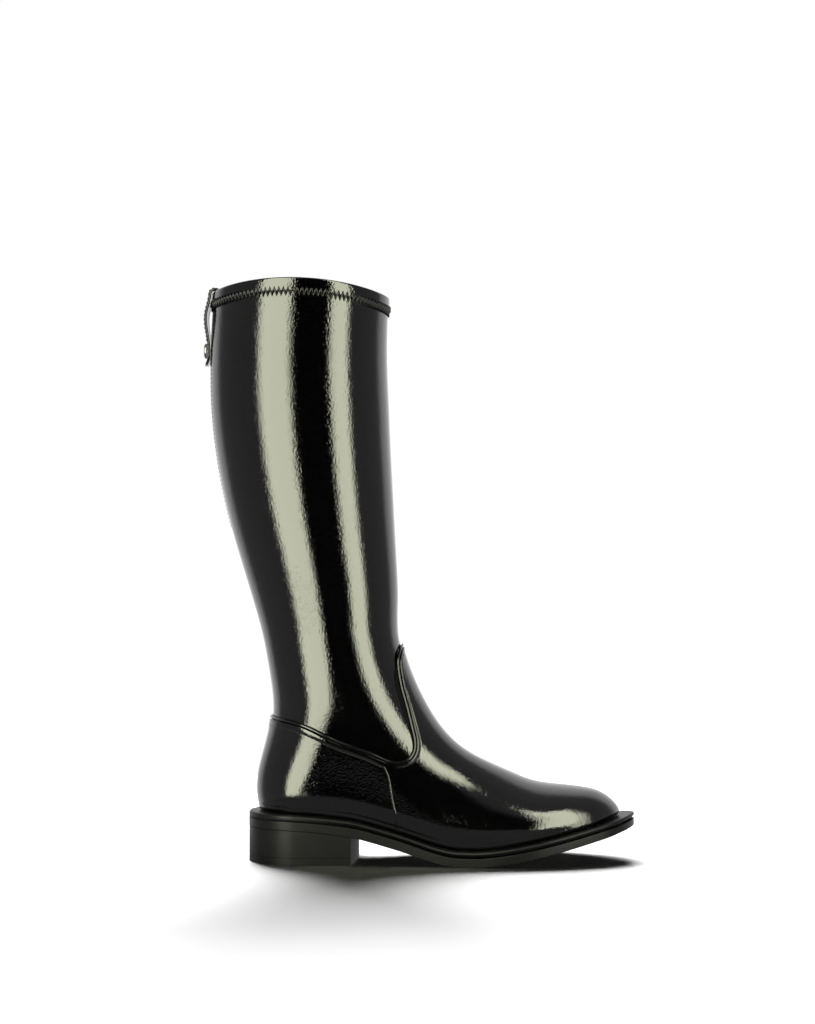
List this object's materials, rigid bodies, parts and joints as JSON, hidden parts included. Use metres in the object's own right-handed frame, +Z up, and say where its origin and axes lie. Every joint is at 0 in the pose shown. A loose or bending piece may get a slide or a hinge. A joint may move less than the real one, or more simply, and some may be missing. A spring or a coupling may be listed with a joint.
{
  "type": "knee-high boot",
  "caption": "Knee-high riding boot in black patent leather: lasted upper, slim shaft with a banded collar, beaded welt, low block heel and a pull tab at the back.",
  "frame": {"origin": "middle of the heel's floor face, on the floor", "axes": "+X from heel to toe, +Y from the outer to the inner side of the leg, +Z up the shaft"},
  "size_m": [0.3044, 0.1058, 0.4051],
  "materials": {
    "patent": "black patent, mirror gloss over a fine grain",
    "rubber": "black satin rubber",
    "lining": "soft matt lining",
    "stud": "black enamelled stud with a dark metal rim"
  },
  "bodies": {
    "root": {"upper": "patent", "shaft": "patent", "edge_piping": "patent", "pull_tab": "patent", "outsole": "rubber", "welt": "rubber", "heel_block": "rubber", "heel_top_lift": "rubber", "insole": "lining", "tab_stud": "stud"}
  },
  "joints": []
}
